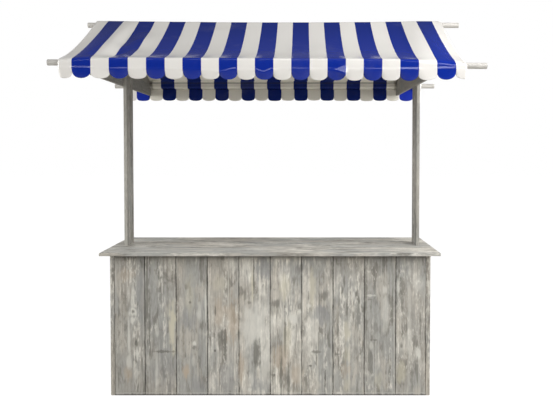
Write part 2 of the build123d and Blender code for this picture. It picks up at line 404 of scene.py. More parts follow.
# paint on the front boards, kind by kind: middle across and up, half width, half height, strength
frontMarks = [
    (shade(203, 200, 190), [  # thin pale lines where two strips of a board were glued
        (0.297, 0.245, 0.0042, 0.3, 0.85), (0.492, 0.25, 0.0042, 0.3, 0.85), (0.08, 0.56, 0.0042, 0.32, 0.7),
        (0.106, 0.61, 0.0036, 0.24, 0.55), (0.661, 0.18, 0.0034, 0.21, 0.55), (-0.262, 0.43, 0.004, 0.4, 0.6),
        (-0.112, 0.74, 0.0042, 0.15, 0.8)]),
    (shade(74, 71, 65), [  # dark corners and the darkest cracks
        (0.9722, 0.445, 0.0026, 0.6, 0.8), (-0.9722, 0.445, 0.0018, 0.47, 0.45),
        (0.343, 0.08, 0.0036, 0.1, 0.7), (0.305, 0.64, 0.003, 0.13, 0.6), (-0.103, 0.76, 0.0034, 0.13, 0.7)]),
    (shade(148, 148, 147), [  # cool grey patches
        (-0.5, 0.49, 0.045, 0.07, 0.6), (-0.45, 0.06, 0.05, 0.05, 0.5), (-0.27, 0.1, 0.06, 0.09, 0.5),
        (-0.045, 0.8, 0.045, 0.06, 0.7), (-0.07, 0.06, 0.06, 0.04, 0.6), (0.31, 0.51, 0.06, 0.055, 0.7),
        (0.12, 0.8, 0.06, 0.05, 0.4), (-0.67, 0.15, 0.06, 0.11, 0.4), (-0.815, 0.62, 0.025, 0.13, 0.5)]),
    (shade(184, 168, 148), [  # tan patches
        (-0.522, 0.155, 0.022, 0.045, 0.8), (-0.32, 0.53, 0.03, 0.075, 0.45),
        (-0.235, 0.46, 0.035, 0.13, 0.55), (-0.18, 0.17, 0.016, 0.085, 0.6), (0.07, 0.23, 0.05, 0.075, 0.55),
        (-0.895, 0.14, 0.02, 0.04, 0.5), (0.47, 0.16, 0.03, 0.04, 0.35), (0.165, 0.12, 0.03, 0.06, 0.45),
        (-0.9, 0.76, 0.05, 0.03, 0.3)]),
    (shade(205, 199, 178), [  # cream patches
        (-0.612, 0.44, 0.019, 0.13, 0.85), (-0.5, 0.62, 0.026, 0.13, 0.35), (-0.112, 0.7, 0.012, 0.1, 0.7),
        (0.085, 0.68, 0.026, 0.07, 0.6), (0.11, 0.38, 0.022, 0.085, 0.5), (0.262, 0.65, 0.02, 0.11, 0.6),
        (0.475, 0.4, 0.024, 0.055, 0.6), (0.48, 0.26, 0.02, 0.05, 0.4), (0.82, 0.15, 0.028, 0.055, 0.5),
        (0.68, 0.1, 0.022, 0.05, 0.3), (0.48, 0.07, 0.016, 0.04, 0.4), (-0.32, 0.7, 0.04, 0.05, 0.35)]),
    (shade(214, 212, 203), [  # scraped and brushed near white
        (-0.095, 0.44, 0.075, 0.125, 0.75), (-0.035, 0.22, 0.035, 0.13, 0.5),
        (-0.478, 0.327, 0.012, 0.012, 0.9), (-0.482, 0.22, 0.01, 0.03, 0.4),
        (-0.445, 0.53, 0.014, 0.055, 0.6), (-0.885, 0.36, 0.007, 0.095, 0.7), (-0.858, 0.6, 0.01, 0.06, 0.6),
        (-0.858, 0.475, 0.016, 0.022, 0.8), (-0.885, 0.64, 0.007, 0.04, 0.4),
        (-0.832, 0.255, 0.007, 0.045, 0.8), (-0.885, 0.21, 0.014, 0.04, 0.6),
        (-0.845, 0.14, 0.012, 0.04, 0.5), (-0.712, 0.15, 0.009, 0.11, 0.5), (-0.712, 0.42, 0.012, 0.04, 0.5),
        (0.145, 0.49, 0.022, 0.028, 0.9), (0.183, 0.53, 0.007, 0.014, 0.9), (0.24, 0.565, 0.014, 0.012, 0.8),
        (0.52, 0.63, 0.008, 0.024, 0.8), (0.72, 0.52, 0.018, 0.095, 0.5), (0.715, 0.665, 0.012, 0.025, 0.6),
        (0.625, 0.63, 0.026, 0.006, 0.6), (0.925, 0.27, 0.016, 0.032, 0.8), (0.925, 0.7, 0.024, 0.05, 0.4),
        (0.8, 0.67, 0.007, 0.05, 0.6), (0.868, 0.4, 0.01, 0.3, 0.35), (0.635, 0.31, 0.014, 0.022, 0.5),
        (0.19, 0.1, 0.006, 0.09, 0.5), (-0.405, 0.57, 0.004, 0.09, 0.8), (-0.385, 0.78, 0.003, 0.06, 0.6),
        (0.38, 0.6, 0.005, 0.14, 0.5), (0.43, 0.015, 0.014, 0.006, 0.8), (-0.13, 0.035, 0.01, 0.012, 0.8),
        (-0.115, 0.1, 0.008, 0.035, 0.6), (-0.01, 0.36, 0.005, 0.06, 0.7), (-0.857, 0.528, 0.023, 0.026, 0.9),
        (0.24, 0.3, 0.045, 0.2, 0.25)]),
    (shade(112, 110, 102), [  # knots, dents and dark streaks
        (-0.766, 0.61, 0.014, 0.25, 0.75), (-0.695, 0.765, 0.006, 0.04, 0.7),
        (-0.68, 0.277, 0.058, 0.007, 0.75), (-0.857, 0.528, 0.009, 0.012, 0.8),
        (-0.838, 0.33, 0.01, 0.016, 0.9), (-0.5, 0.587, 0.008, 0.008, 0.8), (-0.31, 0.35, 0.02, 0.05, 0.6),
        (-0.282, 0.33, 0.005, 0.08, 0.8), (-0.343, 0.53, 0.005, 0.024, 0.8),
        (-0.345, 0.283, 0.007, 0.007, 1), (-0.103, 0.72, 0.005, 0.11, 0.8),
        (-0.085, 0.26, 0.024, 0.085, 0.8), (-0.13, 0.585, 0.012, 0.01, 0.5), (0.035, 0.58, 0.024, 0.024, 0.7),
        (0.092, 0.38, 0.005, 0.085, 0.6), (0.022, 0.13, 0.01, 0.006, 0.8), (0.068, 0.13, 0.008, 0.11, 0.7),
        (0.112, 0.11, 0.009, 0.09, 0.7), (0.13, 0.05, 0.04, 0.025, 0.5), (0.24, 0.62, 0.004, 0.022, 0.7),
        (0.335, 0.63, 0.022, 0.03, 0.6), (0.285, 0.275, 0.026, 0.008, 0.7), (0.25, 0.187, 0.008, 0.006, 0.8),
        (0.461, 0.73, 0.006, 0.032, 0.7), (0.448, 0.65, 0.009, 0.036, 0.8), (0.436, 0.58, 0.012, 0.03, 0.5),
        (0.537, 0.635, 0.006, 0.028, 0.8), (0.54, 0.52, 0.035, 0.08, 0.4), (0.425, 0.26, 0.014, 0.006, 0.6),
        (0.597, 0.71, 0.008, 0.15, 0.6), (0.62, 0.605, 0.018, 0.005, 0.5), (0.65, 0.35, 0.016, 0.006, 0.7),
        (0.66, 0.43, 0.02, 0.03, 0.4), (0.63, 0.21, 0.024, 0.065, 0.55), (0.72, 0.145, 0.008, 0.014, 0.5),
        (0.815, 0.63, 0.008, 0.04, 0.5), (0.842, 0.43, 0.01, 0.032, 0.6), (0.918, 0.16, 0.008, 0.07, 0.6),
        (0.935, 0.47, 0.006, 0.08, 0.4), (-0.83, 0.06, 0.005, 0.03, 0.7), (-0.95, 0.11, 0.005, 0.06, 0.6),
        (-0.69, 0.665, 0.02, 0.012, 0.4), (-0.478, 0.3, 0.01, 0.014, 0.5), (0.765, 0.64, 0.004, 0.05, 0.5),
        (0.302, 0.35, 0.003, 0.09, 0.6)]),
]


def paintBoards(name, axes, pieces, finish, measured=None):
    # the axes are those of the grain and of the row of boards, and the row starts with the first piece
    way, count = "XYZ".index(axes[1]), finish.get("count", 1)
    first, last = measured or (pieces[0], pieces[count - 1])
    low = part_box(first)[0][way]
    width = (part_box(last)[1][way] - low) / count
    giveMaterial(boardMaterial(name, *axes, low, width, **finish), *pieces)


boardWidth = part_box("front_board_04")[0].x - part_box("front_board_03")[0].x
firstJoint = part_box("front_board_02")[0].x
giveMaterial(boardMaterial("paintedFrontBoards", "Z", "X", firstJoint - boardWidth, boardWidth,
                           ends=(counterLow.x, counterHigh.x), marks=frontMarks, **frontBoards),
             *[f"front_board_{i + 1:02d}" for i in range(frontBoards["count"])])

sideBoards = {"count": 3, "offset": 40, "bothSides": True, "lightness": 0.3, "brush": 0.65, "dirt": 0.85}
paintBoards("paintedSideBoards", "ZY",
            [f"{side}_board_{i}" for side in ("left", "right") for i in (1, 2, 3)], sideBoards)

topPlanks = {"count": 3, "offset": 60, "lightness": 0.5, "brush": 0.7, "dirt": 0.75}
paintBoards("paintedTopPlanks", "XY", [f"top_plank_{i}" for i in (1, 2, 3)], topPlanks)

uprights = {"brush": 0.55, "dirt": 0.25, "contrast": 1.4}
# painted shade and light: one paint on both uprights, its left copy painted darker and its right copy lighter
for side, finish in {"Left": {"lightness": -0.42, "paintedFrontLight": 0.75, "offset": 80},
                     "Right": {"lightness": -0.36, "paintedFrontLight": 0.35, "offset": 90}}.items():
    paintBoards(f"painted{side}Upright", "ZY", [f"{side.lower()}_upright"], uprights | finish)

gables = {"brush": 0.25, "dirt": 0.25, "contrast": 0.4}
# painted shade and light: one paint on both gables, its left copy painted darker and its right copy lighter
for side, finish in {"Left": {"lightness": -0.52, "offset": 80},
                     "Right": {"lightness": -0.28, "offset": 120}}.items():
    paintBoards(f"painted{side}Gable", "YZ", [f"{side.lower()}_gable"], gables | finish)

rails = {"lightness": 0.35, "brush": 0.45, "dirt": 0.3}
paintBoards("paintedRails", "XZ", ["front_rail_bottom", "front_rail_middle", "front_rail_top", "rear_rail"],
            rails | {"offset": 120})
battens = [f"{side}_batten_{level}_{place}" for side in ("left", "right") for level in ("bottom", "top")
           for place in ("front", "rear")]
paintBoards("paintedBattens", "YZ", ["left_cleat", "right_cleat", *battens],
            rails | {"offset": 150, "bothSides": True}, measured=["front_rail_bottom"] * 2)
print("market stall: boards painted")


plasticPole = {
    "colour": shade(196, 193, 187),
    "scuff": shade(150, 147, 140),
    "roughness": 0.38,
    "relief": (0.15, 0.0004),
}


def makePoleMaterial(pole):
    material, tree, shader = newMaterial("palePlasticPole")
    place = objectPlace(tree)
    marks = noiseValue(vectorMaths("MULTIPLY", place, (6, 60, 60)), detail=5, roughness=0.65)
    cloud = noiseValue(place, scale=9)
    scuffed = between(marks, 0.52, 0.68) * between(cloud, 0.4, 0.65)
    dress(shader, mixColours(scuffed * 0.6, pole["colour"], pole["scuff"]), pole["roughness"] + scuffed * 0.3,
          marks, *pole["relief"])
    return material


giveMaterial(makePoleMaterial(plasticPole), "front_pole", "ridge_pole", "rear_pole")
print("market stall: poles done")


# one sheet over three poles: sizes in metres, and heights from a pole's axis
canopy = {
    "stripeWidth": 0.1025,
    "fullStripes": 21,
    "leftEnd": 0.077,  # width of the cut stripe at the left end
    "thickness": 0.0012,
    "tight": 0.027,  # the sheet's distance from the pole axes over the gable boards
    "faceOut": 0.0004,  # how much further out it hangs at the eaves
    "eaveEase": 0.13,  # shares of the slope in which it comes to lie so
    "ridgeEase": 0.3,
    "skew": 0.004,  # how far askew it lies on its poles
    "ripple": 0.006,  # long soft waves down the slopes
    "sway": 0.004,  # and along the eaves
    "frontDrop": 0.0895,  # to the lowest points of the scallops
    "frontLean": 0.017,  # how far the lower edge swings in under the eave
    "leanPower": 1.3,  # and how the swing grows downwards
    "frontSag": 0.0335,
    "faceHollow": 0.0008,
    "blueScallop": (0.035, 1.95),  # depth, and roundness: 2 is an ellipse, more is squarer
    "whiteScallop": (0.031, 2.2),
    "weldDrop": 0.0245,  # where the pole sleeve is welded on
    "weldHeight": 0.009,  # the welded strip makes a narrow chamfer, this high and this far proud
    "weldLedge": 0.00145,
    "whiteWeld": 0.8,  # how much flatter the weld lies on a white stripe
    "rearDrop": 0.1125,
    "rearLean": 0.01,
    "rearSag": 0.026,
    "rearScallop": 0.026,  # depth
    "handCut": (0.0012, 0.0035),  # how much the scallops differ in length, front and rear
    "rearFold": 0.0195,
    "rearFaceTop": 0.008,
    "rearFoldRadius": 0.014,
    "cornerIn": 0.011,  # the corner at the left front swings in a little
}
# how finely the sheet is divided: columns in a stripe, and rows in each part of its section
divisions = {"stripe": 10, "valance": 13, "weld": (0, 0.12, 0.5, 0.88, 1), "face": 9, "corner": 6,
             "frontSlope": 44, "frontKept": 42, "ridge": 6, "rearSlope": 40, "rearKept": 38, "rearFace": 6,
             "rearValance": 10}
# values that change along the stall, each as places and what holds there
stations = {
    # how freely the sheet hangs along the eaves: 0 on a gable board, 1 well between them
    "freedom": [(-1.17, 0.8), (-1, 0), (-0.966, 0), (-0.88, 0.88), (-0.72, 1), (0.56, 1),
        (0.82, 0.8), (0.928, 0), (0.964, 0), (1.13, 0.75)],
    # distance from the ridge pole's axis: up on the gable boards, down on the pole in between
    "ridgeRest": [(-1.17, 0.0285), (-0.985, 0.027), (-0.88, 0.0252), (-0.6, 0.0226), (-0.3, 0.0198),
        (0, 0.0186), (0.3, 0.019), (0.6, 0.0208), (0.84, 0.0236), (0.945, 0.0265), (1.13, 0.0262)],
    # height of the fold above the front pole's axis, and how round it is
    "foldHeight": [(-1.17, 0.0175), (-0.98, 0.0245), (-0.8, 0.0285), (0, 0.03), (0.66, 0.032),
        (0.82, 0.0295), (0.945, 0.022), (1.06, 0.0135), (1.13, 0.01)],
    "foldRadius": [(-1.17, 0.014), (-1, 0.01), (-0.9, 0.005), (0.74, 0.005), (0.92, 0.016), (1.13, 0.026)],
    # the front weld: how proud it stands, how big it is, and how far it wanders up and down
    "weldRelief": [(-1.17, 1), (-0.98, 1), (-0.84, 0.68), (-0.7, 0.68), (-0.5, 0.3), (-0.34, 0.3),
        (-0.22, 0.9), (-0.13, 0.82), (-0.03, 0.83), (0.1, 0.63), (0.2, 0.67), (0.28, 0.76), (0.42, 0.77),
        (0.6, 0.86), (0.8, 1), (0.95, 1), (1.13, 1)],
    "weldSize": [(-1.17, 1.15), (-0.9, 0.9), (0.6, 0.9), (0.8, 1.4), (0.93, 1.5), (1.13, 2)],
    "weldWander": [(-1.17, -0.006), (-1.04, -0.006), (-0.88, -0.01), (-0.62, -0.007), (-0.34, -0.01),
        (-0.262, -0.022), (-0.185, -0.006), (-0.12, -0.008), (-0.065, -0.008), (-0.018, -0.023),
        (0.03, -0.006), (0.09, -0.003), (0.9, -0.001), (1.02, 0.005)],
    # how much higher the hem ends near the right end, and how far the stripes drift along the front
    "hemLift": [(0.78, 0), (0.98, 0.006), (1.13, 0.014)],
    "frontDrift": [(-1.17, 0.001), (-0.63, 0.008), (-0.42, 0.0066), (0.1, 0), (0.62, -0.0056),
        (0.8, -0.0056), (1.13, -0.002)],
    # how square the scallops of the rear valance are cut
    "rearRoundness": [(-1.17, 2.6), (-0.85, 2.7), (-0.52, 2.15), (-0.18, 2.25), (0.06, 3.2), (0.52, 3.2),
        (0.76, 2.6), (0.95, 2.1), (1.13, 2.2)],
}
# shallow folds in the front slope: place along it, share of the slope from the eave, half sizes, height
slopeFolds = [(-0.885, 0.16, 0.055, 0.085, -0.0075), (-0.9, 0.34, 0.07, 0.12, 0.0075),
              (-0.79, 0.56, 0.07, 0.16, 0.011), (-0.78, 0.2, 0.05, 0.09, 0.005), (0.3, 0.3, 0.1, 0.2, 0.004),
              (-0.35, 0.45, 0.12, 0.22, -0.003)]
# a pinched fold in the upright face, a flat facet that leans out towards its foot: its pointed left end, the
# end of its growth, its right end, the middle's height, half height, depth, and the fade below it
faceFold = (0.36, 0.4475, 0.453, -0.029, 0.033, 0.0107, 0.012)
# and a low crease near the right end: place, height, half sizes, depth
endCrease = (1.085, 0.005, 0.05, 0.008, 0.003)


def poleAxis(name):
    low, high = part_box(name)
    return (low.y + high.y) / 2, (low.z + high.z) / 2


canopyLow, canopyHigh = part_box("canopy")
stripeStart = canopyLow.x + canopy["leftEnd"]
ridgeZ = poleAxis("ridge_pole")[1]
rearY, rearZ = poleAxis("rear_pole")
frontY, frontZ = poleAxis("front_pole")
frontPoleLow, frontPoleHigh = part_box("front_pole")
frontMidX = (frontPoleLow.x + frontPoleHigh.x) / 2
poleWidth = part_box("ridge_pole")[1].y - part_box("ridge_pole")[0].y
poleTilt = (frontPoleHigh.z - frontPoleLow.z - poleWidth) / (frontPoleHigh.x - frontPoleLow.x)


def clamp(value):
    return max(0, min(1, value))


def smooth(t):
    return t * t * (3 - 2 * t)


def station(name, x):
    # smooth value between the nearest two stations
    places = stations[name]
    if x <= places[0][0]:
        return places[0][1]
    for (lowX, lowValue), (highX, highValue) in zip(places, places[1:]):
        if x <= highX:
            return lowValue + (highValue - lowValue) * smooth((x - lowX) / (highX - lowX))
    return places[-1][1]


def onWhite(x):
    # 1 in the middle of a white stripe, 0 on a blue one
    turn = (x - stripeStart) / canopy["stripeWidth"] % 2
    return smooth(clamp((min(abs(turn - 0.5), abs(turn - 2.5)) - 0.4) / 0.32))


def frontAxis(x):
    return frontZ - poleTilt * (x - frontMidX)


def sagShape(t):
    # 0 at both ends, fullest a little below the middle of the slope
    peak = 0.42
    if t < peak:
        return 1 - abs(1 - t / peak) ** 2.6
    return 1 - abs((t - peak) / (1 - peak)) ** 1.9


def bend(start, corner, end, steps):
    points = []
    for i in range(steps + 1):
        t = i / steps
        a, b, c = (1 - t) ** 2, 2 * t * (1 - t), t * t
        points.append((a * start[0] + b * corner[0] + c * end[0], a * start[1] + b * corner[1] + c * end[1]))
    return points


def bulge(x, y, middleX, middleY, halfX, halfY, amount):
    return amount * math.exp(-((x - middleX) / halfX) ** 2 - ((y - middleY) / halfY) ** 2)


def pinch(x, z):
    # how much of the facet shows at a place, and how far it stands out there
    left, widest, right, middle, most, depth, fade = faceFold
    if x <= left or x >= right:
        return 0, 0
    half = most * min((x - left) / (widest - left), (right - x) / (right - widest)) ** 1.5
    down = middle + half - z
    if down <= 0:
        return 0, 0
    fading = max(0, 1 - max(0, down - 2 * half) / fade)
    return smooth(fading), min(down, 2 * half) / (2 * most) * depth


def slopePoints(x, eaveY, eaveZ, side, foldY, foldZ, sag, steps):
    # from the fold at the eave to the ridge, as offsets above the line of the two pole axes
    free, tight = station("freedom", x), canopy["tight"]
    length = math.hypot(eaveY, ridgeZ - eaveZ)
    along = (-eaveY / length, (ridgeZ - eaveZ) / length)
    normal = (along[1] * side, abs(along[0]))
    startAlong = (foldY - eaveY) * along[0] + (foldZ - eaveZ) * along[1]
    startOff = (foldY - eaveY) * normal[0] + (foldZ - eaveZ) * normal[1]
    endOff = station("ridgeRest", x)
    points = []
    for i in range(steps + 1):
        t = i / steps
        run = startAlong + (length - startAlong) * t
        loose = startOff + (endOff - startOff) * t - sag * sagShape(t)
        # over a gable board it lies firm, eased in at the eave and at the ridge
        firm = tight + (startOff - tight) * max(0, 1 - t / canopy["eaveEase"]) ** 2
        firm += (endOff - tight) * max(0, 1 - (1 - t) / canopy["ridgeEase"]) ** 2
        off = firm + (loose - firm) * free
        if side < 0:
            off += sum(bulge(x, t, *fold) for fold in slopeFolds)
        points.append((eaveY + along[0] * run + normal[0] * off, eaveZ + along[1] * run + normal[1] * off))
    return points, endOff, normal


def clearOf(points, y, z, reach, kept):
    # the last points of a slope, as far as they are clear of its fold
    return [p for p in points if math.hypot(p[0] - y, p[1] - z) > reach][-kept:]


def frontSection(x):
    # valance, weld, upright face, fold and slope, from the hem at full drop up to the ridge
    axis, free = frontAxis(x), station("freedom", x)
    face = frontY - canopy["tight"] - canopy["faceOut"]
    fold = axis + station("foldHeight", x)
    weld = axis - canopy["weldDrop"] + station("weldWander", x)
    low = axis - canopy["frontDrop"] + station("hemLift", x)
    radius, size = station("foldRadius", x), station("weldSize", x)
    lean = canopy["frontLean"] * free
    ledge = canopy["weldLedge"] * station("weldRelief", x) * size * (1 - canopy["whiteWeld"] * onWhite(x))
    steps = divisions["valance"]
    valance = [(face - ledge + (lean + ledge) * (1 - i / steps) ** canopy["leanPower"],
                low + (weld - low) * i / steps) for i in range(steps)]
    faceLow, faceTop = weld + canopy["weldHeight"] * size, fold - radius
    upright = [(face - ledge * (1 - t), weld + (faceLow - weld) * t) for t in divisions["weld"]]
    steps = divisions["face"]
    for i in range(1, steps):
        upright.append((face - canopy["faceHollow"] * free * math.sin(math.pi * i / steps),
                        faceLow + (faceTop - faceLow) * i / steps))
    slope, ridgeOff, normal = slopePoints(x, frontY, axis, -1, face, fold, canopy["frontSag"],
                                          divisions["frontSlope"])
    slope = clearOf(slope, face, fold, radius * 1.1, divisions["frontKept"])
    corner = bend((face, faceTop), (face, fold), slope[0], divisions["corner"])
    return valance, upright + corner[:-1] + slope, ridgeOff, normal


def ridgeSection(ridgeOff, frontNormal, rearNormal):
    # round the ridge pole from the one slope to the other
    points = []
    for i in range(1, divisions["ridge"]):
        t = i / divisions["ridge"]
        y = frontNormal[0] * (1 - t) + rearNormal[0] * t
        z = frontNormal[1] * (1 - t) + rearNormal[1] * t
        length = math.hypot(y, z)
        points.append((ridgeOff * y / length, ridgeZ + ridgeOff * z / length))
    return points


def rearSection(x):
    # slope, fold, upright face and valance, from the ridge down to the hem at full drop
    eave, fold, faceTop = rearY + canopy["tight"], rearZ + canopy["rearFold"], rearZ + canopy["rearFaceTop"]
    face = eave + canopy["faceOut"]
    slope, _, normal = slopePoints(x, rearY, rearZ, 1, eave, fold, canopy["rearSag"], divisions["rearSlope"])
    slope = clearOf(slope, face, fold, canopy["rearFoldRadius"], divisions["rearKept"])[::-1]
    corner = bend(slope[-1], (face, fold), (face, faceTop), divisions["corner"])
    weld, low = rearZ - canopy["weldDrop"], rearZ - canopy["rearDrop"]
    steps = divisions["rearFace"]
    upright = [(face, faceTop + (weld - faceTop) * i / steps) for i in range(1, steps)]
    lean = canopy["rearLean"] * station("freedom", x)
    steps = divisions["rearValance"]
    valance = [(face - lean * (i / steps) ** canopy["leanPower"],
                weld + (low - weld) * (i / steps)) for i in range(steps + 1)]
    return slope[:-1] + corner + upright, valance, normal


def scallop(u, depth, roundness):
    # lift of the edge above its lowest point, u from -1 to 1 across the stripe
    return depth * (1 - (1 - min(1, abs(u)) ** roundness) ** (1 / roundness))


def liftHem(valance, lift):
    # the hem moves up by the whole lift, and the top of the valance stays
    low, high = min(z for _, z in valance), max(z for _, z in valance)
    return [(y, z + lift * ((high - z) / (high - low))) for y, z in valance]


def sheetSection(x, u):
    stripe = math.floor((x - stripeStart) / canopy["stripeWidth"])
    cut = noise.noise(Vector((stripe * 3.7, 0.5, 0.5)))  # every scallop is cut by hand
    depth, roundness = canopy["blueScallop"] if stripe % 2 == 0 else canopy["whiteScallop"]
    frontLift = scallop(u, depth, roundness + 0.3 * cut) + canopy["handCut"][0] * cut
    rearLift = scallop(u, canopy["rearScallop"], station("rearRoundness", x) + 0.5 * cut)
    rearLift -= canopy["handCut"][1] * cut
    frontValance, front, ridgeOff, frontNormal = frontSection(x)
    rear, rearValance, rearNormal = rearSection(x)
    return (liftHem(frontValance, frontLift) + front + ridgeSection(ridgeOff, frontNormal, rearNormal) + rear
            + liftHem(rearValance, rearLift))


def sheetSkew(y):
    return canopy["skew"] * y / -frontY


def sway(x, y, z):
    # the eaves hang a little unevenly
    wave = noise.noise(Vector((x * 5.5, z * 6, 9.1 if y < 0 else 21.3)))
    shift = wave * canopy["sway"] * clamp((frontZ - z) / 0.06) * station("freedom", x)
    return shift * (1 if y < 0 else -1)


def endLean(x, z):
    low = max(0, frontZ - z) / canopy["frontDrop"]
    return canopy["cornerIn"] * low * low * clamp((-1.07 - x) / 0.1)


def settle(x, y, z):
    # where a point of the section ends up: ripples, folds, drift and sway
    high = clamp((z - frontZ - 0.05) / 0.12) * clamp((ridgeZ - z) / 0.12)
    ripple = noise.noise(Vector((x * 4.2, y * 1.1, 3.7))) * canopy["ripple"] * station("freedom", x) * high
    swing = sway(x, y, z)
    up = z - frontAxis(x)
    if y < frontY and z < frontAxis(x) + 0.03:
        share, proud = pinch(x, up)
        y += (frontY - canopy["tight"] - proud - y) * share
        y -= bulge(x, up, *endCrease)
    drift = station("frontDrift", x) * clamp(y / frontY)
    return x + sheetSkew(y) + drift + endLean(x, z), y + swing, z + ripple


def withRuns(points):
    # each point and the length of the section up to it
    run, last = 0, points[0]
    for point in points:
        run += math.hypot(point[0] - last[0], point[1] - last[1])
        last = point
        yield point, run


def makeCloth(name, strips, thickness):
    # each strip is a row of columns, and each column its place along the cloth and its points with their run
    mesh = bmesh.new()
    flatMap = mesh.loops.layers.uv.new("flat")
    for strip in strips:
        grid = [[(mesh.verts.new(point), (across, run)) for point, run in column] for across, column in strip]
        for left, right in zip(grid, grid[1:]):
            for k in range(len(left) - 1):
                corners = (left[k], left[k + 1], right[k + 1], right[k])
                face = mesh.faces.new([vert for vert, _ in corners])
                face.smooth = True
                for loop, (_, flat) in zip(face.loops, corners):
                    loop[flatMap].uv = flat
    bmesh.ops.recalc_face_normals(mesh, faces=mesh.faces)
    data = bpy.data.meshes.new(name)
    mesh.to_mesh(data)
    mesh.free()
    piece = newObject(name, data)
    thick = piece.modifiers.new("clothThickness", "SOLIDIFY")
    thick.thickness = thickness
    thick.offset = 0
    return piece, thick


def canopyPlaces():
    # places across the sheet, closer together towards a stripe's edges, and where in its stripe each one is
    width, count = canopy["stripeWidth"], divisions["stripe"]
    places = []
    for stripe in range(-1, canopy["fullStripes"] + 1):
        for i in range(count):
            u = math.sin(math.pi / 2 * (2 * i / count - 1))
            x = stripeStart + (stripe + (u + 1) / 2) * width
            if canopyLow.x + 0.001 < x < canopyHigh.x - 0.001:
                places.append((x, u))
    left, right = [(x, 2 * ((x - stripeStart) / width % 1) - 1) for x in (canopyLow.x, canopyHigh.x)]
    return [left, *places, right]


def makeCanopy():
    strip = []
    for x, u in canopyPlaces():
        column = [(settle(x, y, z), run) for (y, z), run in withRuns(sheetSection(x, u))]
        strip.append((x - stripeStart, column))
    piece, thick = makeCloth("canopySheet", [strip], canopy["thickness"])
    thick.material_offset = 1
    return piece, column[-1][1]


stripes = {
    "blue": shade(11, 42, 148),
    "white": shade(235, 232, 227),
    # painted shade: darker blue and white towards the ridge
    "shadedRidgeBlue": shade(10, 36, 120),
    "shadedRidgeWhite": shade(229, 226, 221),
    "ridgeShadeReach": (2.06, 2.42),  # heights between which painted shade darkens the cloth towards the ridge
    # the lining in painted shade, and at its ends in painted light
    "shadedLiningBlue": shade(20, 37, 106),
    "shadedLiningWhite": shade(228, 224, 212),
    "litEndBlue": shade(30, 50, 160),
    "litEndWhite": shade(238, 235, 230),
    "liningMiddle": -0.0175,  # painted shade and light: the lining is painted darker within the half width of its middle, between the gable boards, and lighter at its ends outside them
    "liningHalf": 0.973,
    "gloss": (0.42, 0.1),  # of the coated side and of the lining
    "roughness": 0.08,
    "relief": (0.09, 0.0006),
    "blueExtra": 0.012,  # a blue stripe is this much wider on each side, in stripes
    "dust": shade(150, 146, 132),
    # painted shade in the crease where a sleeve meets the slope
    "paintedShade": shade(30, 30, 30),
}


def makeStripeGroup(cloth):
    tree, given, out = newGroup(
        "stripedTarpaulin",
        {"Vector": ["Place", "Flat"], "Float": ["Shift", "Seam"], "Color": ["Blue", "White"]},
        {"Color": ["Colour"], "Float": ["Roughness", "Height"]})
    place, flat = given["Place"], given["Flat"]
    across, along, _ = splitVector(flat)
    turn = (across + given["Shift"]) / canopy["stripeWidth"]
    away = maths("FLOORED_MODULO", turn, 2) - 0.5
    blue = maths("MAXIMUM", abs(away) < 0.5 + cloth["blueExtra"], away > 1.5 - cloth["blueExtra"])
    whole = (turn > -0.5) * (turn < canopy["fullStripes"] + 0.5)
    colour = mixColours(whole * blue, given["White"], given["Blue"])
    dusty = between(noiseValue(place, scale=3.2, detail=5, roughness=0.62), 0.5, 0.78)
    colour = mixColours(dusty * 0.1, colour, cloth["dust"])
    # painted shade along the weld of a sleeve, in the crease where it meets the slope
    seam = between(abs(along - given["Seam"]), 0.0065, 0.0035) * 0.55
    feed(out["Colour"], mixColours(seam, colour, cloth["paintedShade"]))
    smear = noiseValue(place, scale=14, detail=4, roughness=0.6)
    feed(out["Roughness"], cloth["roughness"] + smear * 0.1 + dusty * 0.1)
    # the base weave shows faintly through the coating
    threads = {"Vector": flat, "Scale": 160, "Distortion": 0.4, "Detail": 1}
    weave, weft = [nodeOutput("ShaderNodeTexWave", threads, "Fac", bands_direction=way) for way in "XY"]
    crumple = noiseValue(place, scale=26, detail=2)
    feed(out["Height"], weave * weft * 0.12 + crumple)
    return tree


stripeGroup = makeStripeGroup(stripes)


def clothMaterial(name, shift=0, seam=-1, lining=False):
    material, tree, shader = newMaterial(name)
    flat = Wire(addNode(tree, "ShaderNodeUVMap", uv_map="flat").outputs[0])
    place = objectPlace(tree)
    x, _, z = splitVector(place)
    if lining:
        # painted shade in the middle of the lining, painted light at its ends
        share = abs(x - stripes["liningMiddle"]) > stripes["liningHalf"]
        ends = ("shadedLiningBlue", "litEndBlue"), ("shadedLiningWhite", "litEndWhite")
    else:
        # painted shade, darker towards the ridge
        share = between(z, *stripes["ridgeShadeReach"])
        ends = ("blue", "shadedRidgeBlue"), ("white", "shadedRidgeWhite")
    blue, white = [mixColours(share, stripes[first], stripes[second]) for first, second in ends]
    cloth = useGroup(tree, stripeGroup, Place=place, Flat=flat, Shift=shift, Seam=seam,
                     Blue=blue, White=white)
    shader.inputs["Specular IOR Level"].default_value = stripes["gloss"][lining]
    dress(shader, cloth["Colour"], cloth["Roughness"], cloth["Height"], *stripes["relief"])
    return material


canopySheet, canopyRun = makeCanopy()
canopySheet.data.materials.append(clothMaterial("stripedCanopyCloth"))
canopySheet.data.materials.append(clothMaterial("stripedCanopyLining", lining=True))
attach(canopySheet, "root")
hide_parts("canopy")
print("market stall: canopy sheet made,", round(canopyRun, 3), "m from edge to edge")


# pole sleeves, welded to the sheet inside each eave
sleeve = {
    "thickness": 0.0012,
    "bore": 0.0188,
    "inside": 0.0008,  # how far the weld lies inside the sheet
    "ends": 0.002,  # how much shorter the sleeves are than the sheet
    "slit": 0.008,  # the gap at each side of a gable board
    "run": 0.021,  # how far in from the pole's axis the sleeve meets the slope
    "tongue": 0.01,  # and how far it goes on along it
    "sink": (0.0016, 0.0014),  # how far it lies below the slope where it meets it, and at its end
    # how far back from where the sleeve meets the slope its painted shade lies
    "shift": 0.005,  # how far its stripes are out of line with the sheet's
    "paintedShade": 0.012,
    "step": 0.02,
    "turns": 13,
}


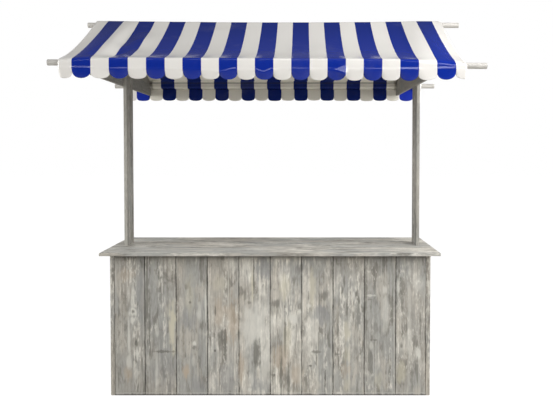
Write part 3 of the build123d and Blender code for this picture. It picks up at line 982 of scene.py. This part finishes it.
def sleevePath(x, side):
    # from the weld on the valance, under the pole and up to the slope
    front = side < 0
    axisY, axisZ = (frontY, frontAxis(x)) if front else (rearY, rearZ)
    fold = station("foldHeight", x) if front else canopy["rearFold"]
    sag = canopy["frontSag"] if front else canopy["rearSag"]
    out = side * (canopy["tight"] - sleeve["inside"])
    weld = axisZ - canopy["weldDrop"] + (station("weldWander", x) if front else 0)
    points = [(axisY + out + sway(x, side, weld + rise), weld + rise) for rise in (0.009, 0.0015)]
    for i in range(sleeve["turns"]):
        angle = math.radians(-60 - 135 * i / (sleeve["turns"] - 1))
        points.append((axisY + side * sleeve["bore"] * math.cos(angle),
                       axisZ + sleeve["bore"] * math.sin(angle)))
    slope, _, _ = slopePoints(x, axisY, axisZ, side, axisY + side * canopy["tight"], axisZ + fold, sag, 60)
    y, z = min((p for p in slope if (p[0] - axisY) * side <= 0),
               key=lambda p: abs(abs(p[0] - axisY) - sleeve["run"]))
    points.append((y, z - sleeve["sink"][0]))
    rise = sleeve["tongue"] * (ridgeZ - axisZ) / abs(axisY) * 0.7
    points.append((y - side * sleeve["tongue"], z - sleeve["sink"][1] + rise))
    return points


def makeSleeves():
    (leftOut, leftIn), (rightIn, rightOut) = [(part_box(name)[0].x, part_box(name)[1].x)
                                              for name in ("left_gable", "right_gable")]
    spans = [(canopyLow.x + sleeve["ends"], leftOut - sleeve["slit"]),
             (leftIn + sleeve["slit"], rightIn - sleeve["slit"]),
             (rightOut + sleeve["slit"], canopyHigh.x - sleeve["ends"])]
    strips = []
    for side in (-1, 1):
        for low, high in spans:
            steps = max(4, int((high - low) / sleeve["step"]))
            strip = []
            for i in range(steps + 1):
                x = low + (high - low) * i / steps
                column = [((x + sheetSkew(y), y, z), run) for (y, z), run in withRuns(sleevePath(x, side))]
                strip.append((x - stripeStart, column))
            strips.append(strip)
    piece, _ = makeCloth("poleSleeves", strips, sleeve["thickness"])
    return piece, column[-2][1]  # the run where the sleeve meets the slope


poleSleeves, sleeveRun = makeSleeves()
poleSleeves.data.materials.append(
    clothMaterial("stripedSleeveCloth", sleeve["shift"], sleeveRun - sleeve["paintedShade"], lining=True))
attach(poleSleeves, "root")
print("market stall: sleeves made")


studio = {
    "floor": shade(120, 119, 118),
    "floorBounce": shade(216, 214, 210),
    "floorGlow": (0.9, 1.02),  # near the stall and far from it
    "glowReach": (1.3, 3.2),
    "ambient": (0.49, 0.19),  # low down and overhead
    "ceiling": 0.115,  # how bright a gloss sees the room above the backdrop, and in front
    "frontRoom": 0.065,
}


def makeFloor(values):
    bpy.ops.object.select_all(action="DESELECT")
    bpy.ops.mesh.primitive_plane_add(size=60, location=(0, 0, cadLow.z))
    floor = bpy.context.object
    floor.name = "studioFloor"
    bpy.ops.object.transform_apply(location=True, rotation=True, scale=True)
    material, tree, shader = newMaterial("paleFloor")
    shader.inputs["Roughness"].default_value = 0.9
    shader.inputs["Specular IOR Level"].default_value = 0
    x, y, _ = splitVector(objectPlace(tree))
    far = between(maths("SQRT", x * x + y * y), *values["glowReach"])
    seen = Wire(addNode(tree, "ShaderNodeLightPath").outputs["Is Camera Ray"])
    colour = mixColours(far, values["floor"], (0, 0, 0, 1))
    feed(shader.inputs["Base Color"], mixColours(seen, values["floorBounce"], colour))
    shader.inputs["Emission Color"].default_value = (1, 1, 1, 1)
    feed(shader.inputs["Emission Strength"], seen * mixValues(far, *values["floorGlow"]))
    floor.data.materials.append(material)


def makeWorld(values):
    world = bpy.data.worlds.new("studioWorld")
    world.use_nodes = True
    bpy.context.scene.world = world
    tree = world.node_tree
    backdrop = tree.nodes["Background"]
    backdrop.inputs["Color"].default_value = (1, 1, 1, 1)
    path = addNode(tree, "ShaderNodeLightPath")
    glossy, through, seen = [Wire(path.outputs[f"Is {kind} Ray"])
                             for kind in ("Glossy", "Transmission", "Camera")]
    # as a gloss sees it: a white backdrop behind the stall, a dimmer ceiling and room in front
    _, back, up = splitVector(Wire(addNode(tree, "ShaderNodeTexCoord").outputs["Generated"]))
    behind = between(back, -0.15, 0.35)
    room = between(up, 0.24, 0.5, 1, values["ceiling"]) * behind + (1 - behind) * values["frontRoom"]
    soft = between(up, 0.05, 0.95, *values["ambient"])
    strength = mixValues(maths("MAXIMUM", glossy, through), soft, room)
    feed(backdrop.inputs["Strength"], maths("MAXIMUM", strength, seen))


makeFloor(studio)
makeWorld(studio)

lamps = {
    # place, what it is aimed at, watts, width and depth; the bank is what the gloss of the welds picks up
    "keyLight": ((2.35, -1.95, 3.7), (0.2, 0, 1.4), 66, (1.6, 1.6)),
    "backLight": ((-1.4, 4.3, 3.3), (0, 0.3, 1.5), 75, (2, 2)),
    "bankLight": ((0.6, -4.2, 3.6), (0.2, -0.7, 2), 66, (7.6, 0.28)),
    "leftLight": ((-5, -1, 2.3), (0, 0, 1.4), 135, (1.6, 1.6)),
    "rightLight": ((5, -1, 2.3), (0, 0, 1.4), 150, (1.6, 1.6)),
}
for name, (place, target, power, size) in lamps.items():
    light = bpy.data.lights.new(name, "AREA")
    light.shape = "RECTANGLE"
    light.size, light.size_y = size
    light.energy = power
    lamp = newObject(name, light)
    lamp.location = place
    lamp.visible_camera = False
    lamp.visible_glossy = name != "backLight"
    lamp.rotation_euler = (Vector(target) - Vector(place)).to_track_quat("-Z", "Y").to_euler()

view = {
    "place": (0.1739, -4.3681, 1.5499),
    "tiltDown": 0.0296,
    "sensorWidth": 36,
    "lens": 36 * 650 / 553,
    "shift": (-0.0391, -0.0716),
}
camera = bpy.data.cameras.new("stallCamera")
camera.sensor_width = view["sensorWidth"]
camera.lens = view["lens"]
camera.shift_x, camera.shift_y = view["shift"]
stallCamera = newObject("stallCamera", camera)
stallCamera.location = view["place"]
stallCamera.rotation_euler = (math.pi / 2 - view["tiltDown"], 0, 0)
bpy.context.scene.camera = stallCamera
bpy.context.scene.view_settings.view_transform = "Standard"
print("market stall: studio ready")
